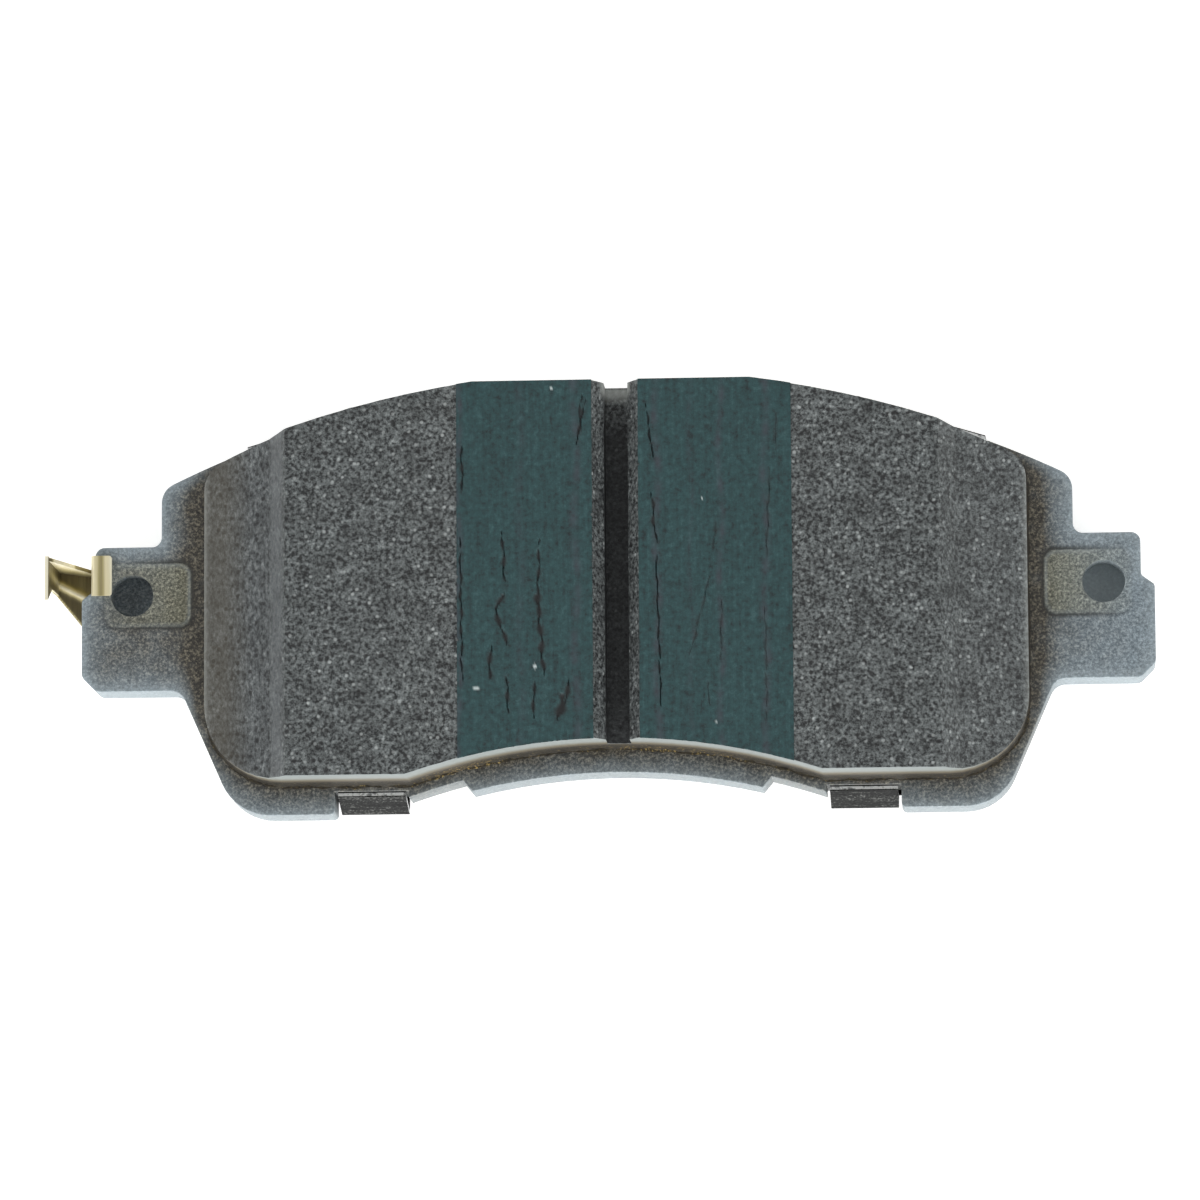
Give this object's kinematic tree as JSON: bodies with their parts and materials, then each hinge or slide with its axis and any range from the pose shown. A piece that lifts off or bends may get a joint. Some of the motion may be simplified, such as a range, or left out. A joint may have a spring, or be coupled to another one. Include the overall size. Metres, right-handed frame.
{
  "type": "disc brake pad",
  "caption": "Disc brake pad: friction lining with a middle slot and coated bands, on an eared steel plate with a clip-on damping shim and a wear indicator.",
  "frame": {"origin": "on the shim's back face, midway between the two ear bosses", "axes": "+X along the pad from the ear with the wear indicator to the other ear, +Y away from the wheel's axle, +Z towards the brake disc"},
  "size_m": [0.1348, 0.0517, 0.0188],
  "materials": {
    "plate_powder_coat": "matt powder coat, sooty near the lining",
    "phenolic_glue": "cured resin",
    "bonding_compound": "moulded, matt",
    "friction_compound": "ground, rough, flecked",
    "bedding_coat": "dull teal coat with fine cracks",
    "shim_rubber": "satin",
    "shim_steel": "sheared edge",
    "zinc_yellow_spring_steel": "satin zinc plating, passivated yellow"
  },
  "bodies": {
    "pad": {"backing_plate": "plate_powder_coat", "glue_film": "phenolic_glue", "underlayer": "bonding_compound", "friction_lining": "friction_compound", "coating_left": "bedding_coat", "coating_right": "bedding_coat", "wear_indicator": "zinc_yellow_spring_steel"},
    "shim": {"shim_front_rubber": "shim_rubber", "shim_steel_core": "shim_steel", "shim_back_rubber": "shim_rubber"}
  },
  "joints": [
    {"name": "shim_slide", "type": "slide", "parent": "pad", "child": "shim", "axis": [1, 0, 0], "range_m": [-0.00035, 0.00035]}
  ]
}
